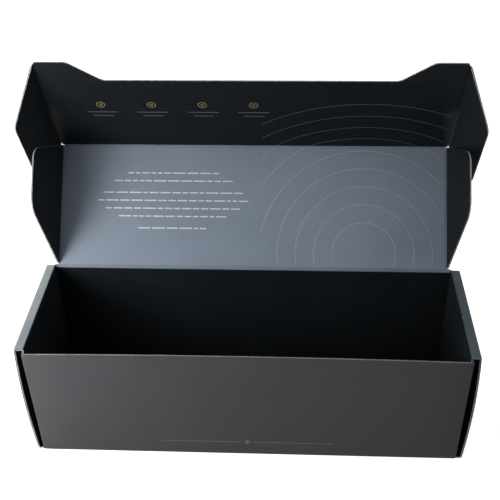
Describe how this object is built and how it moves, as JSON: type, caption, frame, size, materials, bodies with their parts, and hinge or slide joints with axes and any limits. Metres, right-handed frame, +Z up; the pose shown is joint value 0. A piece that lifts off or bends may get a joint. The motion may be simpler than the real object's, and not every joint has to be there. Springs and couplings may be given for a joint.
{
  "type": "mailer box",
  "caption": "Long roll-end mailer box of fine fluted board for one bottle, open, with a hinged lid, lid flaps and a lobed tuck flap with ears",
  "frame": {"origin": "middle of the underside of the base, on the surface that the box stands on", "axes": "+X along the length of the box to the right as seen from the front, +Y to the hinged back, +Z up"},
  "size_m": [0.355, 0.1736, 0.2789],
  "materials": {
    "outside_grey": "matt printed liner, dark warm grey",
    "inside_slate": "matt printed liner, slate grey",
    "inside_black": "matt printed liner, near black"
  },
  "bodies": {
    "tray": {"tray": "outside_grey"},
    "lid": {"lid_panel": "inside_slate"},
    "left_lid_flap": {"left_lid_flap": "inside_black"},
    "right_lid_flap": {"right_lid_flap": "inside_black"},
    "tuck_flap": {"tuck_flap": "inside_black"},
    "left_ear": {"left_ear": "inside_black"},
    "right_ear": {"right_ear": "inside_black"}
  },
  "joints": [
    {"name": "lid_hinge", "type": "hinge", "parent": "tray", "child": "lid", "pos_m": [0, 0.05205, 0.1083], "axis": [-1, 0, 0], "range_deg": [-70, 48]},
    {"name": "left_lid_flap_crease", "type": "hinge", "parent": "lid", "child": "left_lid_flap", "pos_m": [-0.15935, 0.05153, 0.10877], "axis": [0, -0.6691, -0.7431], "range_deg": [-84, 7]},
    {"name": "right_lid_flap_crease", "type": "hinge", "parent": "lid", "child": "right_lid_flap", "pos_m": [0.15935, 0.05153, 0.10877], "axis": [0, 0.6691, 0.7431], "range_deg": [-84, 7]},
    {"name": "tuck_flap_crease", "type": "hinge", "parent": "lid", "child": "tuck_flap", "pos_m": [0, 0.11968, 0.18446], "axis": [-1, 0, 0], "range_deg": [-20, 67]},
    {"name": "left_ear_crease", "type": "hinge", "parent": "tuck_flap", "child": "left_ear", "pos_m": [-0.1609, 0.11968, 0.18446], "axis": [0, 0.4226, -0.9063], "range_deg": [-11, 66.5]},
    {"name": "right_ear_crease", "type": "hinge", "parent": "tuck_flap", "child": "right_ear", "pos_m": [0.1609, 0.11968, 0.18446], "axis": [0, -0.4226, 0.9063], "range_deg": [-11, 66.5]}
  ]
}
